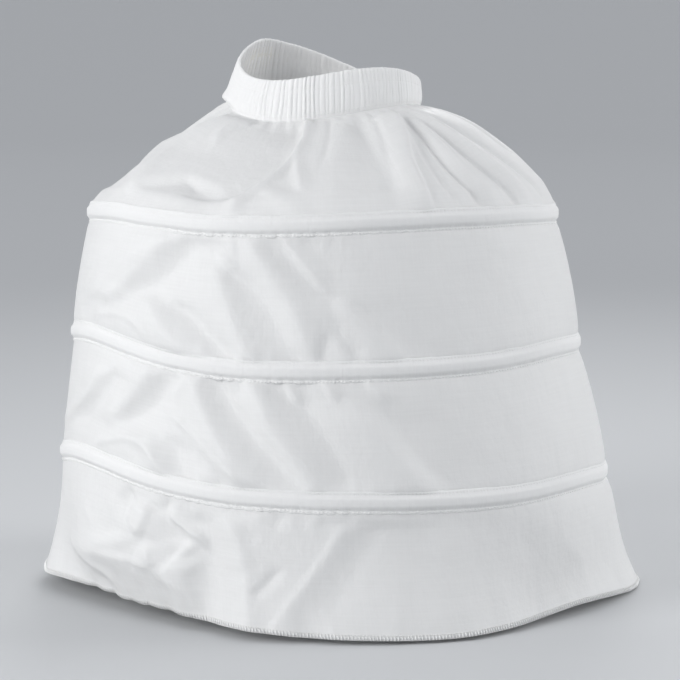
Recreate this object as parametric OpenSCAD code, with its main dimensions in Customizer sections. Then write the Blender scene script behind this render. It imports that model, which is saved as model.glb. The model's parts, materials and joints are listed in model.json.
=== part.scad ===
// Three-hoop petticoat (a soft crinoline cage): an elastic waistband, a puffed
// yoke, two tiers and a hem flounce of woven cloth, held out by three sprung
// hoops that run in tape casings sewn over the tier seams.
// Millimetres, +Z up, +X to the wearer's left as seen from the front,
// front towards -Y, origin at the centre of the waist opening.

/* [Waistband] */
// Width of the waist opening at the rim, side to side
waist_w = 177; // [160:1:190]
// Depth of the waist opening at the rim, front to back
waist_d = 156; // [140:1:170]
// Mean height of the shirred band
band_h = 35; // [30:1:42]
// Outward lean of the band from rim to lower edge, each side
band_lean = 8; // [4:1:12]
// Thickness of the flat elastic
elastic_t = 1; // [0.8:0.1:1.1]

/* [Hoops] */
// Skirt diameter under the upper hoop
upper_d = 460; // [440:2:470]
// Skirt diameter under the middle hoop
middle_d = 500; // [486:2:510]
// Skirt diameter under the lower hoop
lower_d = 540; // [526:2:550]
// Drop of the upper hoop below the waist
upper_drop = 120; // [112:1:127]
// Drop of the middle hoop below the waist
middle_drop = 244; // [236:1:251]
// Drop of the lower hoop below the waist
lower_drop = 362; // [354:1:368]
// Width of the flat sprung boning
boning_w = 6.2; // [5:0.1:6.2]
// Thickness of the flat sprung boning
boning_t = 1.8; // [1.2:0.1:1.8]

/* [Skirt] */
// Width of the hem, side to side
hem_d = 592; // [570:2:600]
// Drop of the hem below the waist
hem_drop = 494; // [484:1:500]
// How much less the hem reaches out at front and back than at the sides
hem_flat = 16; // [0:1:20]
// Mean puff of the yoke above a straight cone
yoke_puff = 12; // [6:1:18]

/* [Cloth] */
// Thickness of the skirt cloth
cloth_t = 0.8; // [0.6:0.1:0.8]
// Height of the casing tape above the hoop line
tape_up = 9; // [8.5:0.5:9]
// Height of the casing tape below the hoop line
tape_down = 10.5; // [9.5:0.5:11]
// How far the tape tunnel stands proud of the skirt
tape_rise = 5; // [5:0.1:5.6]
// Thread thickness
thread_t = 0.5; // [0.4:0.05:0.6]

/* [Resolution] */
// Stations around the skirt
stations = 48; // [48:12:60]

/* [Hidden] */

// Each level of the skirt: sideways shift, radius, drop, then how the sprung
// ring is warped: roll to one side, saddle, skew, ripple, twist, and how much
// the two sides sag.
UPPER = 0; MIDDLE = 1; LOWER = 2; HEM = 3;
shift  = [-3, 0, 8, 16];
radius = [upper_d / 2, middle_d / 2, lower_d / 2, hem_d / 2];
flat   = [0, 0, 0, hem_flat];
drop   = [upper_drop, middle_drop, lower_drop, hem_drop];
roll   = [0, 4.5, 8.5, 4.5];
saddle = [3.5, 14.5, 13.5, 0];
skew   = [0.5, -1, -3, 0];
ripple = [0.5, 3, 3.5, 0];
twist  = [2, 2.5, 2.5, 0];
sag    = [10, 22, 27.5, 0];

gap = 0.2;                        // air between layers that lie on each other
band_gap = 0.7;                   // air between the elastic and each leg of the band
joint_station = 14 / 48 * stations; // hoop ends meet at the back
back = 90;                        // angle of the back seam
white_cloth = "whitesmoke";
tape_white = "white";

function angle(k) = 360 * k / stations;
function ring_z(i, a) = -drop[i] - roll[i] * cos(a) + saddle[i] * cos(2 * a) - skew[i] * sin(2 * a)
    + ripple[i] * cos(4 * a) + twist[i] * sin(4 * a) - sag[i] * pow(abs(cos(a)), 12);
function ring_r(i, a) = radius[i] - flat[i] * pow(sin(a), 2);
// Point at level i and angle a, p outside the skirt surface, h above the line
function ring(i, a, p, h) = let (r = ring_r(i, a) + p) [shift[i] + r * cos(a), r * sin(a), ring_z(i, a) + h];

// The slack elastic band: higher at the back left, with a dip at the front
function rim_z(a)  =  0.45 * band_h - 10.5 * cos(a) + 7 * sin(a) - 3 * cos(2 * a) - 13 * sin(2 * a);
function base_z(a) = -0.55 * band_h - 4.5 * cos(a) + 8.5 * sin(a) + 2.5 * cos(2 * a) - 9 * sin(2 * a)
    - 11 * exp(-pow((a - 161) / 29, 2));
// Point on the band at angle a, s from lower edge (0) to rim (1), p outwards
function band(a, s, p) = let (x = (1 - s) * -4 + s * 3.5,
                              rx = waist_w / 2 + (1 - s) * band_lean + p,
                              ry = waist_d / 2 + (1 - s) * band_lean * 0.75 + p)
    [x + rx * cos(a), ry * sin(a), (1 - s) * base_z(a) + s * rim_z(a)];

function mix(u, v, t) = u * (1 - t) + v * t;
// The yoke swells above the straight line from waist to hoop, most on one side
function puff(a, t) = (yoke_puff + 9.5 * cos(a)) * sin(90 * min(1, t / 0.5)) * (1 - pow(t, 8));
function yoke(a, t, p, h) = mix(band(a, -0.06, 0.4), ring(UPPER, a, 0, 9.5), t)
    + [p * cos(a), p * sin(a), puff(a, t) + h];
// The flounce hangs nearly straight, then kicks out at the hem
function flounce(a, t, p) = let (top = ring(LOWER, a, -1, -8), end = ring(HEM, a, 0, 0), f = 0.45 * t + 0.55 * pow(t, 3))
    [mix(top[0], end[0], f) + p * cos(a), mix(top[1], end[1], f) + p * sin(a), mix(top[2], end[2], t)];

yoke_steps = [0.12, 0.3, 0.5, 0.7, 0.86];
flounce_steps = [0.3, 0.55, 0.78, 0.965, 1];

// A closed band: the same outline at every station, joined all the way round.
// Outlines run down the outside and back up the inside.
module loop(outlines) {
    n = len(outlines[0]);
    m = len(outlines);
    polyhedron(
        points = [for (o = outlines) each o],
        faces = [for (k = [0 : m - 1]) for (j = [0 : n - 1])
            let (a = k * n + j, b = ((k + 1) % m) * n + j,
                 c = ((k + 1) % m) * n + (j + 1) % n, d = k * n + (j + 1) % n)
            each [[a, b, c], [a, c, d]]]);
}

// An open strip: the same outline from station to station, closed at both ends
module strip(outlines) {
    n = len(outlines[0]);
    m = len(outlines);
    polyhedron(
        points = [for (o = outlines) each o],
        faces = concat(
            [for (k = [0 : m - 2]) for (j = [0 : n - 1])
                let (a = k * n + j, b = (k + 1) * n + j, c = (k + 1) * n + (j + 1) % n, d = k * n + (j + 1) % n)
                each [[a, b, c], [a, c, d]]],
            [[for (j = [0 : n - 1]) j]],
            [[for (j = [n - 1 : -1 : 0]) (m - 1) * n + j]]));
}

// A sleeve: an outline with a matching hole, open at both ends
module sleeve(outer, inner) {
    n = len(outer[0]);
    m = len(outer);
    q = n * m;
    polyhedron(
        points = concat([for (o = outer) each o], [for (o = inner) each o]),
        faces = concat(
            [for (k = [0 : m - 2]) for (j = [0 : n - 1])
                let (a = k * n + j, b = a + n, e = (j + 1) % n - j)
                each [[a, b, b + e], [a, b + e, a + e],
                      [q + a, q + b + e, q + b], [q + a, q + a + e, q + b + e]]],
            [for (j = [0 : n - 1]) let (e = (j + 1) % n)
                each [[j, e, q + e], [j, q + e, q + j]]],
            [for (j = [0 : n - 1]) let (e = (j + 1) % n, z = (m - 1) * n)
                each [[z + j, q + z + e, z + e], [z + j, q + z + j, q + z + e]]]));
}

// A thread or flat band of box section at level i
function box_at(i, a, p0, p1, h0, h1) =
    [ring(i, a, p1, h1), ring(i, a, p1, h0), ring(i, a, p0, h0), ring(i, a, p0, h1)];

// ---- waist ----

// The band is one strip of cloth folded over the elastic, open downwards
module waistband() {
    leg = elastic_t / 2 + band_gap;
    color(white_cloth) loop([for (k = [0 : stations - 1]) let (a = angle(k)) [
        band(a, 0.97, leg + cloth_t), band(a, 0, leg + cloth_t), band(a, 0, leg), band(a, 0.95, leg),
        band(a, 0.95, -leg), band(a, 0, -leg), band(a, 0, -leg - cloth_t), band(a, 0.97, -leg - cloth_t),
        band(a, 1, -leg), band(a, 1, leg)]]);
}

module waist_elastic() {
    e = elastic_t / 2;
    color("ivory") loop([for (k = [0 : stations - 1]) let (a = angle(k))
        [band(a, 0.9, e), band(a, 0.12, e), band(a, 0.12, -e), band(a, 0.9, -e)]]);
}

// One row holds the yoke in the band, one row runs below the rim
module waistband_stitching() {
    p = elastic_t / 2 + band_gap + cloth_t + 0.4;
    color(tape_white) for (s = [0.04, 0.68])
        loop([for (k = [0 : stations - 1]) let (a = angle(k))
            [band(a, s + 0.02, p + thread_t), band(a, s, p + thread_t), band(a, s, p), band(a, s + 0.02, p)]]);
}

// ---- skirt cloth ----

// The gathered top edge sits between the two legs of the band
module yoke_panel() {
    color(white_cloth) loop([for (k = [0 : stations - 1]) let (a = angle(k)) concat(
        [band(a, 0.08, 0.4), band(a, -0.06, 0.4)],
        [for (t = yoke_steps) yoke(a, t, 0, 0)],
        [ring(UPPER, a, 0, 9.5), ring(UPPER, a, 0, -7), ring(UPPER, a, -cloth_t, -7), ring(UPPER, a, -cloth_t, 9.2)],
        [for (j = [len(yoke_steps) - 1 : -1 : 0]) yoke(a, yoke_steps[j], -0.6, -0.6)],
        [band(a, -0.07, -0.4), band(a, 0.08, -0.4)])]);
}

// A tier laps behind the panel above it, under the casing tape
module tier(i, j) {
    lap = -cloth_t - gap;
    color(white_cloth) loop([for (k = [0 : stations - 1]) let (a = angle(k)) [
        ring(i, a, lap, 5), ring(i, a, lap, -8), ring(j, a, 0, 9.5), ring(j, a, 0, -7),
        ring(j, a, -cloth_t, -7), ring(j, a, -cloth_t, 9.5), ring(i, a, lap - cloth_t, -8), ring(i, a, lap - cloth_t, 5)]]);
}
module upper_tier_panel() { tier(UPPER, MIDDLE); }
module lower_tier_panel() { tier(MIDDLE, LOWER); }

module hem_flounce() {
    lap = -cloth_t - gap;
    color(white_cloth) loop([for (k = [0 : stations - 1]) let (a = angle(k)) concat(
        [ring(LOWER, a, lap, 5), ring(LOWER, a, lap, -8)],
        [for (t = flounce_steps) flounce(a, t, lap + 1)],
        [for (j = [len(flounce_steps) - 1 : -1 : 0]) flounce(a, flounce_steps[j], lap + 1 - cloth_t)],
        [ring(LOWER, a, lap - cloth_t, -8), ring(LOWER, a, lap - cloth_t, 5)])]);
}

// ---- hoops ----

// Flat sprung boning, bent round until its ends almost meet in the joiner
module hoop(i) {
    color("lightsteelblue")
    strip([for (k = [0 : stations])
        let (a = angle(joint_station + k) + (k == 0 ? 0.2 : k == stations ? -0.2 : 0))
        box_at(i, a, 2.2 - boning_t / 2, 2.2 + boning_t / 2, -boning_w / 2, boning_w / 2)]);
}
// Plastic sleeve over the two ends of the boning
module hoop_joiner(i) {
    color("gainsboro")
    sleeve([for (k = [-1 : 1]) box_at(i, angle(joint_station + k), 0.45, 3.95, -3.9, 3.9)],
           [for (k = [-1 : 1]) box_at(i, angle(joint_station + k), 1.1, 3.3, -3.3, 3.3)]);
}
// Woven tape sewn down along both edges, with a tunnel for the hoop between
module casing_tape(i) {
    color(tape_white) loop([for (k = [0 : stations - 1]) let (a = angle(k)) [
        ring(i, a, gap + 0.8, tape_up), ring(i, a, gap + 0.8, 6.4), ring(i, a, tape_rise, 4.9),
        ring(i, a, tape_rise, -4.9), ring(i, a, gap + 0.8, -6.4), ring(i, a, gap + 0.8, -tape_down),
        ring(i, a, gap, -tape_down), ring(i, a, gap, -5.8), ring(i, a, tape_rise - 0.8, -4.3),
        ring(i, a, tape_rise - 0.8, 4.3), ring(i, a, gap, 5.8), ring(i, a, gap, tape_up)]]);
}
module casing_stitching(i) {
    p = gap + 0.85;
    color("snow") for (h = [7.4, -8.5])
        loop([for (k = [0 : stations - 1]) box_at(i, angle(k), p, p + thread_t, h, h + 0.6)]);
}

module upper_hoop() { hoop(UPPER); }
module upper_hoop_joiner() { hoop_joiner(UPPER); }
module upper_casing_tape() { casing_tape(UPPER); }
module upper_casing_stitching() { casing_stitching(UPPER); }
module middle_hoop() { hoop(MIDDLE); }
module middle_hoop_joiner() { hoop_joiner(MIDDLE); }
module middle_casing_tape() { casing_tape(MIDDLE); }
module middle_casing_stitching() { casing_stitching(MIDDLE); }
module lower_hoop() { hoop(LOWER); }
module lower_hoop_joiner() { hoop_joiner(LOWER); }
module lower_casing_tape() { casing_tape(LOWER); }
module lower_casing_stitching() { casing_stitching(LOWER); }

// ---- edges and seams ----

// Thread wrapped over the raw hem edge
module hem_overlock() {
    o = 0.25;
    i = -cloth_t - 0.25;
    color("snow") loop([for (k = [0 : stations - 1])
        let (a = angle(k), u = flounce(a, 0.965, 0), d = flounce(a, 1, 0),
             r = [cos(a), sin(a), 0], z = [0, 0, 1])
        [u + r * (o + thread_t), d + r * (o + thread_t) - z * 0.6, d + r * (i - thread_t) - z * 0.6,
         u + r * (i - thread_t), u + r * i, d + r * i - z * 0.15, d + r * o - z * 0.15, u + r * o]]);
}

// The turned seam allowance inside the back, one length in each panel
function seam_row(c, da) = let (t = [-sin(back), cos(back), 0], r = [cos(back), sin(back), 0])
    [c + t * da - r * 0.5, c - t * da - r * 0.5, c - t * da - r * 1.2, c + t * da - r * 1.2];
module seam(centres) { strip([for (c = centres) seam_row(c, 3)]); }
module back_seam_tape() {
    lap = -2 * cloth_t - gap;
    color("snow") {
        seam([for (t = [0.86, 0.7, 0.5, 0.3, 0.12]) yoke(back, t, -0.7, -1.1)]);
        seam([ring(MIDDLE, back, -cloth_t, 9.5), ring(UPPER, back, lap, -8)]);
        seam([ring(LOWER, back, -cloth_t, 9.5), ring(MIDDLE, back, lap, -8)]);
        seam([for (t = [0.9, 0.78, 0.55, 0.3]) flounce(back, t, lap + 1)]);
    }
}

waistband();
waist_elastic();
waistband_stitching();
yoke_panel();
upper_tier_panel();
lower_tier_panel();
hem_flounce();
upper_hoop();
upper_hoop_joiner();
upper_casing_tape();
upper_casing_stitching();
middle_hoop();
middle_hoop_joiner();
middle_casing_tape();
middle_casing_stitching();
lower_hoop();
lower_hoop_joiner();
lower_casing_tape();
lower_casing_stitching();
hem_overlock();
back_seam_tape();
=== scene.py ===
"""White three-hoop petticoat: cloth panels that settle into soft folds, tape casings over sprung hoops,
a shirred elastic waistband, single stitches and an overlocked hem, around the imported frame.
Lengths are worked out in millimetres and written to the meshes in metres."""
import json
import math

import bpy
import numpy as np
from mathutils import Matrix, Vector

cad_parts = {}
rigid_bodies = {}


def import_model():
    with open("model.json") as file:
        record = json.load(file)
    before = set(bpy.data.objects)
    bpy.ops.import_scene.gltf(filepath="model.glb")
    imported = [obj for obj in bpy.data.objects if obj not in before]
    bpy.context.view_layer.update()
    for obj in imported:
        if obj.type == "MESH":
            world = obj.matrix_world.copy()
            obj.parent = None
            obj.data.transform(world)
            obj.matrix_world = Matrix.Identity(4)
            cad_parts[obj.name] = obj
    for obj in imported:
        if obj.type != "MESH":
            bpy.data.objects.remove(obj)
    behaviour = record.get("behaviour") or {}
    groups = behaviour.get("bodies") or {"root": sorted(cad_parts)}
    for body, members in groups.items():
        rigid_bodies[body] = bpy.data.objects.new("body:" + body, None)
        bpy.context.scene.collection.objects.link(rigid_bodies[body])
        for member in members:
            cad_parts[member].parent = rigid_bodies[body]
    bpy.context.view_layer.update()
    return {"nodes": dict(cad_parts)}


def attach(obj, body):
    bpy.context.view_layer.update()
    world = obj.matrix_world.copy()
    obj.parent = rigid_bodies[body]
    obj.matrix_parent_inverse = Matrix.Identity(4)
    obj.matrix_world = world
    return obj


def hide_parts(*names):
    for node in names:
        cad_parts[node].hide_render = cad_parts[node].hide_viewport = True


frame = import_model()
MM = 0.001
TAU = 2 * math.pi


# ------------------------------------------------------------------ the frame's own rules
# The same rings, band, yoke and flounce as the construction, in millimetres.
SHIFT = [-3, 0, 8, 16]
RADIUS = [230, 250, 270, 296]
FLAT = [0, 0, 0, 16]
DROP = [120, 244, 362, 494]
ROLL = [0, 4.5, 8.5, 4.5]
SADDLE = [3.5, 14.5, 13.5, 0]
SKEW = [0.5, -1, -3, 0]
RIPPLE = [0.5, 3, 3.5, 0]
TWIST = [2, 2.5, 2.5, 0]
SAG = [10, 22, 27.5, 0]
UPPER, MIDDLE, LOWER, HEM = range(4)


def ring_z(i, a):
    return (
        -DROP[i] - ROLL[i] * np.cos(a) + SADDLE[i] * np.cos(2 * a) - SKEW[i] * np.sin(2 * a) + RIPPLE[i] * np.cos(4 * a)
        + TWIST[i] * np.sin(4 * a) - SAG[i] * np.abs(np.cos(a)) ** 12
    )


def ring(i, a, p, h):
    r = RADIUS[i] - FLAT[i] * np.sin(a) ** 2 + p
    return np.stack(np.broadcast_arrays(SHIFT[i] + r * np.cos(a), r * np.sin(a), ring_z(i, a) + h), -1)


def rim_z(a):
    return 15.75 - 10.5 * np.cos(a) + 7 * np.sin(a) - 3 * np.cos(2 * a) - 13 * np.sin(2 * a)


def base_z(a):
    return -19.25 - 4.5 * np.cos(a) + 8.5 * np.sin(a) + 2.5 * np.cos(2 * a) - 9 * np.sin(2 * a) - 11 * bell(a, 161, 29)


def band(a, s, p, dz=0.0):
    x = (1 - s) * -4 + s * 3.5
    p = p - 6 * bell(a, 190, 15) * np.exp(-(((s + 0.02) / 0.14) ** 2))
    rx = 88.5 + (1 - s) * 8 + p
    ry = 78 + (1 - s) * 6 + p
    return np.stack(
        np.broadcast_arrays(x + rx * np.cos(a), ry * np.sin(a), (1 - s) * base_z(a) + s * rim_z(a) + dz), -1
    )


def mix(u, v, t):
    return u * (1 - t) + v * t


def puff(a, t):
    return (12 + 9.5 * np.cos(a)) * np.sin(math.pi / 2 * np.minimum(1, t / 0.5)) * (1 - t**8)


def smooth(lo, hi, x):
    t = np.clip((x - lo) / (hi - lo), 0, 1)
    return t * t * (3 - 2 * t)


def bell(a, deg, wide):
    """1 at an angle given in degrees, falling off over wide degrees on both sides."""
    d = np.degrees(np.angle(np.exp(1j * (np.asarray(a) - math.radians(deg)))))
    return np.exp(-((d / wide) ** 2))


def turn_table(a, pairs):
    """A smooth closed curve through (degrees, value) pairs."""
    deg = np.array([q[0] for q in pairs], float)
    val = np.array([q[1] for q in pairs], float)
    o = np.argsort(deg)
    deg, val = deg[o], val[o]
    x = np.degrees(np.asarray(a)) % 360
    fine = np.interp(np.arange(0, 360, 0.5), np.concatenate([deg - 360, deg, deg + 360]), np.tile(val, 3))
    k = np.exp(-((np.arange(-24, 25) / 10.0) ** 2))
    fine = np.convolve(np.concatenate([fine[-40:], fine, fine[:40]]), k / k.sum(), "same")[40:-40]
    return np.interp(x, np.arange(0, 360, 0.5), fine, period=360)


# ------------------------------------------------------------------ camera
CAM = np.array([14.0, -2700.0, 57.4])
PITCH = math.radians(6.6)
FOCAL = 2718.0


def project(p):
    """Pixels of the 680 by 680 frame for points in millimetres."""
    d = p - CAM
    fwd = d[..., 1] * math.cos(PITCH) - d[..., 2] * math.sin(PITCH)
    up = d[..., 1] * math.sin(PITCH) + d[..., 2] * math.cos(PITCH)
    return 340 + FOCAL * d[..., 0] / fwd, 340 - FOCAL * up / fwd


# ------------------------------------------------------------------ grids and noise
def grid_normals(p, wrap=True):
    """Outward normals of a grid p[row, column], rows running down, columns anticlockwise from above."""
    du = np.roll(p, -1, 1) - np.roll(p, 1, 1) if wrap else np.gradient(p, axis=1)
    dv = np.gradient(p, axis=0)
    n = np.cross(dv, du)
    return n / np.maximum(np.linalg.norm(n, axis=-1, keepdims=True), 1e-9)


def random(seed):
    return np.random.default_rng(seed)


def wave_noise(a, seed, lo, hi, n=9):
    """A smooth periodic wobble of a, from -1 to 1 or so, with n waves of lo to hi turns."""
    g = random(seed)
    k = g.integers(lo, hi + 1, n)
    ph = g.uniform(0, TAU, n)
    w = g.uniform(0.5, 1, n)
    return sum(w[i] * np.sin(k[i] * a + ph[i]) for i in range(n)) / w.sum() * 1.8


# ------------------------------------------------------------------ cloth that settles
def pull(a, b, rest, wa, wb, k, short_only=False):
    """Draws two sets of points to their rest distance, in place."""
    d = b - a
    ln = np.sqrt((d * d).sum(0)) + 1e-9
    c = (ln - rest) / ln
    if short_only:
        c = np.minimum(c, 0)
    c *= k / (wa + wb + 1e-9)
    d *= c
    a += d * wa
    b -= d * wb


class Cloth:
    """A band of cloth as a net of threads, closed round its columns. Threads keep their length, the net shears
    and bends a little, and the points settle under their own weight: position based dynamics, step by step."""

    def __init__(self, p, free, warp, weft, bias):
        self.p = np.ascontiguousarray(np.moveaxis(p, -1, 0)).astype(np.float32)
        self.w = free.astype(np.float32)
        self.lh, self.lv = weft.astype(np.float32), warp.astype(np.float32)
        self.l1, self.l2 = bias[0].astype(np.float32), bias[1].astype(np.float32)
        self.across, self.down = {}, {}
        for m in (2, 4, 8):
            self.across[m] = sum(np.roll(weft, -k, 1) for k in range(m)).astype(np.float32)
            self.down[m] = sum(warp[k : len(warp) - m + 1 + k] for k in range(m)).astype(np.float32)

    def step(self, k_shear, k_bend):
        p, w = self.p, self.w
        nv = p.shape[1]
        lh, lv, l1, l2 = self.lh, self.lv, self.l1, self.l2
        pull(p[:, :, 0::2], p[:, :, 1::2], lh[:, 0::2], w[:, 0::2], w[:, 1::2], 1.0)
        pull(p[:, :, 1:-1:2], p[:, :, 2::2], lh[:, 1:-1:2], w[:, 1:-1:2], w[:, 2::2], 1.0)
        pull(p[:, :, -1:], p[:, :, :1], lh[:, -1:], w[:, -1:], w[:, :1], 1.0)
        for s in (0, 1):
            a = slice(s, nv - 1, 2)
            n = len(range(*a.indices(nv)))
            b = slice(s + 1, s + 1 + 2 * n, 2)
            pull(p[:, a], p[:, b], lv[a], w[a], w[b], 1.0)
            pull(p[:, a, :-1], p[:, b, 1:], l1[a, :-1], w[a, :-1], w[b, 1:], k_shear)
            pull(p[:, a, -1:], p[:, b, :1], l1[a, -1:], w[a, -1:], w[b, :1], k_shear)
            pull(p[:, a, 1:], p[:, b, :-1], l2[a, :-1], w[a, 1:], w[b, :-1], k_shear)
            pull(p[:, a, :1], p[:, b, -1:], l2[a, -1:], w[a, :1], w[b, -1:], k_shear)
        for m, k in ((2, 0.4 * k_bend), (4, k_bend), (8, k_bend)):
            self.stiffen(m, k)

    def stiffen(self, m, k):
        """Resists bending: points m threads apart keep from coming nearer."""
        p, w = self.p, self.w
        nv, nu = p.shape[1:]
        rest = self.across[m]
        for start in (0, m):
            for s in range(start, start + m):
                a = p[:, :, s :: 2 * m]
                b = p[:, :, (s + m) % nu :: 2 * m]
                wa, wb = w[:, s :: 2 * m], w[:, (s + m) % nu :: 2 * m]
                if start == 0:
                    pull(a, b, rest[:, s :: 2 * m], wa, wb, k, True)
                else:  # the last of these pairs closes the ring
                    n = nu // (2 * m) - 1
                    pull(a[:, :, :n], p[:, :, s + m :: 2 * m], rest[:, s :: 2 * m][:, :n], wa[:, :n], w[:, s + m :: 2 * m], k, True)
                    e = s + 2 * m * n
                    f = (e + m) % nu
                    pull(p[:, :, e : e + 1], p[:, :, f : f + 1], rest[:, e : e + 1], w[:, e : e + 1], w[:, f : f + 1], k, True)
        rest = self.down[m]
        for start in (0, m):
            for s in range(start, start + m):
                n = len(range(s, nv - m, 2 * m))
                if n:
                    a, b = slice(s, s + 2 * m * n, 2 * m), slice(s + m, s + m + 2 * m * n, 2 * m)
                    pull(p[:, a], p[:, b], rest[a], w[a], w[b], k, True)

    def settle(self, steps, weight, damp=0.94, k_shear=0.35, k_bend=0.06, hold=0.0):
        home = self.p.copy()
        speed = np.zeros_like(self.p)
        for _ in range(steps):
            old = self.p.copy()
            self.p += speed * (damp * self.w)
            self.p[2] -= weight * self.w
            if hold:
                self.p += (home - self.p) * (hold * self.w)
            self.step(k_shear, k_bend)
            speed = self.p - old
        return np.moveaxis(self.p, 0, -1).astype(float)


class Panel:
    """A band of cloth on a grid: p[row, column] in millimetres, x the arc length from the right side, y the length down."""

    def __init__(self, name, p, head, foot):
        self.name, self.p0, self.head, self.foot = name, p, head, foot
        self.nv, self.nu = p.shape[:2]
        self.n = grid_normals(p)
        a = np.linspace(0, TAU, self.nu, endpoint=False)
        self.a = np.broadcast_to(a, (self.nv, self.nu))
        mid = p[self.nv // 2]
        self.round = float(np.linalg.norm(np.roll(mid, -1, 0) - mid, axis=-1).sum())
        self.x = self.a / TAU * self.round
        step = np.linalg.norm(np.diff(p, axis=0), axis=-1).mean(1)
        self.y = np.broadcast_to(np.concatenate([[0], np.cumsum(step)])[:, None], (self.nv, self.nu))
        self.length = float(self.y[-1, 0])
        self.d = np.zeros((self.nv, self.nu))
        self.gain = 1.0  # deepens the folds drawn in the view
        self.move = np.zeros((self.nv, self.nu, 3))
        self.u_px, self.v_px = project(p)
        view = CAM - p
        view /= np.linalg.norm(view, axis=-1, keepdims=True)
        self.facing = (self.n * view).sum(-1)

    def at(self, px, py):
        """The place on the cloth, as (x, y), that shows at a pixel."""
        q = (self.u_px - px) ** 2 + (self.v_px - py) ** 2 + np.where(self.facing > 0.02, 0, 1e9)
        j, i = np.unravel_index(np.argmin(q), q.shape)
        return float(self.x[j, i]), float(self.y[j, i])

    def stroke(self, pts, w, h, wr=None, sharp=1.3, ends=(0.25, 0.25), grow=(1, 1), px=True):
        """A fold along a line: a ridge of height h, or a valley if h is below 0, w wide to the left of the
        line and wr to the right, tapered over the given share of its length at each end. With px the line is
        in pixels of the view, else in (x, y) of the cloth. grow scales the width from one end to the other."""
        wr = w if wr is None else wr
        if px:
            h = h * self.gain
            pts = [self.at(*q) for q in pts]
        pts = np.array(pts, float)
        for k in range(1, len(pts)):  # a line may cross the place where x starts again
            while pts[k, 0] - pts[k - 1, 0] > self.round / 2:
                pts[k, 0] -= self.round
            while pts[k, 0] - pts[k - 1, 0] < -self.round / 2:
                pts[k, 0] += self.round
        if len(pts) > 2:  # soften the corners
            t = np.concatenate([[0], np.cumsum(np.linalg.norm(np.diff(pts, axis=0), axis=1))])
            s = np.linspace(0, t[-1], 4 * len(pts))
            q = np.stack([np.interp(s, t, pts[:, 0]), np.interp(s, t, pts[:, 1])], 1)
            for _ in range(3):
                q[1:-1] = (q[:-2] + 2 * q[1:-1] + q[2:]) / 4
            pts = q
        seg = np.diff(pts, axis=0)
        ln = np.maximum(np.linalg.norm(seg, axis=1), 1e-6)
        cum = np.concatenate([[0], np.cumsum(ln)])
        reach = 3.2 * max(w, wr) * max(grow)
        for turn in (-self.round, 0, self.round):
            q = pts + np.array([turn, 0])
            lo, hi = q.min(0) - reach, q.max(0) + reach
            cols = np.nonzero((self.x[0] >= lo[0]) & (self.x[0] <= hi[0]))[0]
            rows = np.nonzero((self.y[:, 0] >= lo[1]) & (self.y[:, 0] <= hi[1]))[0]
            if not len(cols) or not len(rows):
                continue
            box = np.ix_(rows, cols)
            gx, gy = self.x[box], self.y[box]
            best = np.full(gx.shape, 1e9)
            side = np.zeros(gx.shape)
            along = np.zeros(gx.shape)
            for k in range(len(seg)):
                rx, ry = gx - q[k, 0], gy - q[k, 1]
                t = np.clip((rx * seg[k, 0] + ry * seg[k, 1]) / ln[k] ** 2, 0, 1)
                ex, ey = rx - t * seg[k, 0], ry - t * seg[k, 1]
                dist = np.hypot(ex, ey)
                near = dist < best
                best = np.where(near, dist, best)
                side = np.where(near, seg[k, 0] * ey - seg[k, 1] * ex, side)
                along = np.where(near, (cum[k] + t * ln[k]) / cum[-1], along)
            scale = grow[0] + (grow[1] - grow[0]) * along
            width = np.where(side > 0, wr, w) * scale
            taper = smooth(0, max(ends[0], 1e-3), along) if ends[0] > 0 else 1.0
            taper = taper * (smooth(0, max(ends[1], 1e-3), 1 - along) if ends[1] > 0 else 1.0)
            self.d[box] += h * taper * np.clip(1 - best / (1.7 * width), 0, None) ** sharp

    def facet(self, left, right, h, wl=30, wr=30, ends=(0.1, 0.1), soft=1.35, px=True):
        """A flat face of a fold between two lines that run down the cloth. It falls by h from the left line to the
        right one, with a crease along the left and a softer one along the right, and the cloth eases back over
        wl and wr beside it."""
        h = h * self.gain if px else h
        sides = []
        for line in (left, right):
            q = np.array([self.at(*v) for v in line] if px else line, float)
            q[:, 1] = np.maximum.accumulate(q[:, 1] + 0.01 * np.arange(len(q)))
            sides.append(q)
        rows = self.y[:, 0]
        lo, hi = min(q[0, 1] for q in sides), max(q[-1, 1] for q in sides)
        lines = []
        for q in sides:
            x = np.interp(rows, q[:, 1], q[:, 0])
            for _ in range(4):
                x[1:-1] = (x[:-2] + 2 * x[1:-1] + x[2:]) / 4
            lines.append(x[:, None])
        along = np.clip((rows - lo) / (hi - lo), 0, 1)
        taper = (smooth(0, ends[0], along) if ends[0] > 0 else 1.0) * (smooth(0, ends[1], 1 - along) if ends[1] > 0 else 1.0)
        u = self.x - lines[0]
        wide = np.maximum(lines[1] - lines[0], 2.0)
        u = u - self.round * np.round((u - wide / 2) / self.round)
        face = (1 - np.clip(u / wide, 0, 1)) ** soft - 0.5
        ease = np.where(u < 0, np.exp(np.minimum(u, 0) / wl), np.where(u > wide, np.exp(-np.maximum(u - wide, 0) / wr), 1.0))
        self.d += h * face * ease * (taper * np.ones_like(rows))[:, None]

    def puckers(self, y0, down, seed, count, size=(6, 22), height=(0.5, 1.4), wide=(2.2, 4.5), where=None, lean=0.5):
        """Short ridges that start at a seam y0 and run away from it."""
        g = random(seed)
        for _ in range(count):
            x = g.uniform(0, self.round)
            ln = g.uniform(*size)
            hh = g.uniform(*height)
            ww = g.uniform(*wide)
            sk = g.normal(0, lean)
            if where is not None:
                hh *= float(where(x / self.round * TAU))
            if abs(hh) < 0.12:
                continue
            self.stroke(
                [(x, y0), (x + sk * ln, y0 + down * ln)], ww, hh if g.random() < 0.6 else -hh * 0.8, ends=(0.0, 0.8),
                grow=(0.8, 1.5), px=False,
            )

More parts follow.
